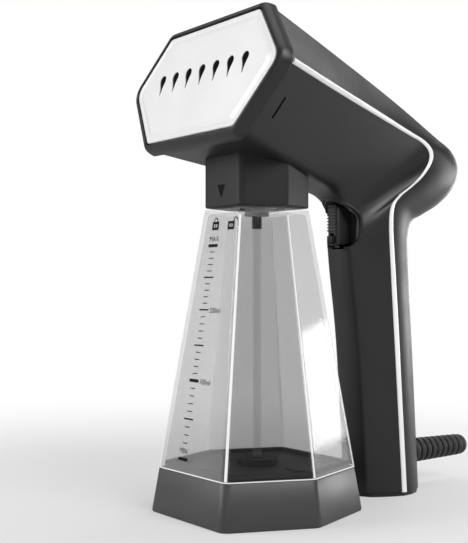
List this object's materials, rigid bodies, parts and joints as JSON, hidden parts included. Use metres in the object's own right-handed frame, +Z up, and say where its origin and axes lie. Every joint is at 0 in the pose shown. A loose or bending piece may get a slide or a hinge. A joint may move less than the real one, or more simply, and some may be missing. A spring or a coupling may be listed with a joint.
{
  "type": "handheld garment steamer",
  "caption": "Pistol-shaped garment steamer: hexagonal steam plate with holes, ribbed trigger, white side trim, clear twist-off water tank and ribbed lead sleeve.",
  "frame": {"origin": "on the table, at the middle of the underside of the tank, which is the foot the steamer stands on", "axes": "+Z up, -Y the way the soleplate faces, +X to the side, the steamer's plane of symmetry at X = 0"},
  "size_m": [0.1266, 0.1918, 0.2379],
  "materials": {
    "shell_black": "satin black moulded plastic",
    "trim_white": "gloss white plastic strip",
    "plate_enamel": "pale ceramic coat on die-cast aluminium, satin",
    "silicone": "matt heat-proof silicone",
    "chamber_metal": "as cast",
    "steel": "plain",
    "brass": "plain",
    "inner_plastic": "matt moulded plastic",
    "inner_white": "matt moulded plastic",
    "hose": "translucent silicone tube",
    "tank_clear": "clear moulded plastic, polished",
    "base_grey": "satin dark grey plastic",
    "lock_black": "gloss black plastic",
    "plunger_red": "gloss red plastic",
    "board_green": "glass-fibre board with green lacquer",
    "wire": "brown insulated wire",
    "relief_rubber": "matt black rubber"
  },
  "bodies": {
    "housing": {"front_shell": "shell_black", "back_shell": "shell_black", "trim_left": "trim_white", "trim_right": "trim_white", "nose_bezel": "shell_black", "soleplate": "plate_enamel", "soleplate_gasket": "silicone", "steam_chamber": "chamber_metal", "chamber_cover": "chamber_metal", "chamber_screws": "steel", "heating_element": "steel", "element_terminals": "brass", "thermostat": "inner_plastic", "thermal_fuse": "inner_plastic", "heat_shield": "steel", "pump": "inner_plastic", "pump_bracket": "inner_plastic", "intake_hose": "hose", "delivery_hose": "hose", "tank_collar": "shell_black", "collar_screws": "steel", "intake_spigot": "inner_plastic", "spigot_seal": "silicone", "suction_hose": "hose", "suction_filter": "inner_plastic", "trigger_pin": "steel", "trigger_spring": "steel", "trigger_cradle": "inner_plastic", "microswitch": "inner_plastic", "switch_holder": "inner_plastic", "control_board": "board_green", "board_parts": "inner_plastic", "lead_wires": "wire", "cord_clamp": "inner_plastic", "clamp_screws": "steel", "strain_relief": "relief_rubber", "handle_foot": "shell_black", "shell_screws": "steel"},
    "trigger": {"trigger": "shell_black"},
    "trigger_lock": {"trigger_lock": "lock_black"},
    "plunger": {"switch_plunger": "plunger_red"},
    "lock_ring": {"tank_lock_ring": "inner_white"},
    "tank": {"tank_shell": "tank_clear", "tank_base": "base_grey", "tank_floor": "inner_plastic", "floor_seal": "silicone"}
  },
  "joints": [
    {"name": "trigger_pull", "type": "hinge", "parent": "housing", "child": "trigger", "pos_m": [0, 0.0608, 0.1495], "axis": [1, 0, 0], "range_deg": [0, 8], "stiffness_Nm_per_rad": 0.6, "springref_deg": -8.59, "deforming": ["trigger_spring"]},
    {"name": "lock_slide", "type": "slide", "parent": "trigger", "child": "trigger_lock", "axis": [0, 0, 1], "range_m": [0, 0.002]},
    {"name": "plunger_push", "type": "slide", "parent": "housing", "child": "plunger", "axis": [0, 1, 0], "range_m": [0, 0.0024]},
    {"name": "tank_twist", "type": "hinge", "parent": "housing", "child": "lock_ring", "pos_m": [0, 0, 0.15], "axis": [0, 0, 1], "range_deg": [-30, 0]},
    {"name": "tank_drop", "type": "slide", "parent": "lock_ring", "child": "tank", "axis": [0, 0, -1], "range_m": [0, 0.2]}
  ],
  "couplings": [
    {"joint": "plunger_push", "follows": "trigger_pull", "m_per_rad": 0.0155}
  ]
}
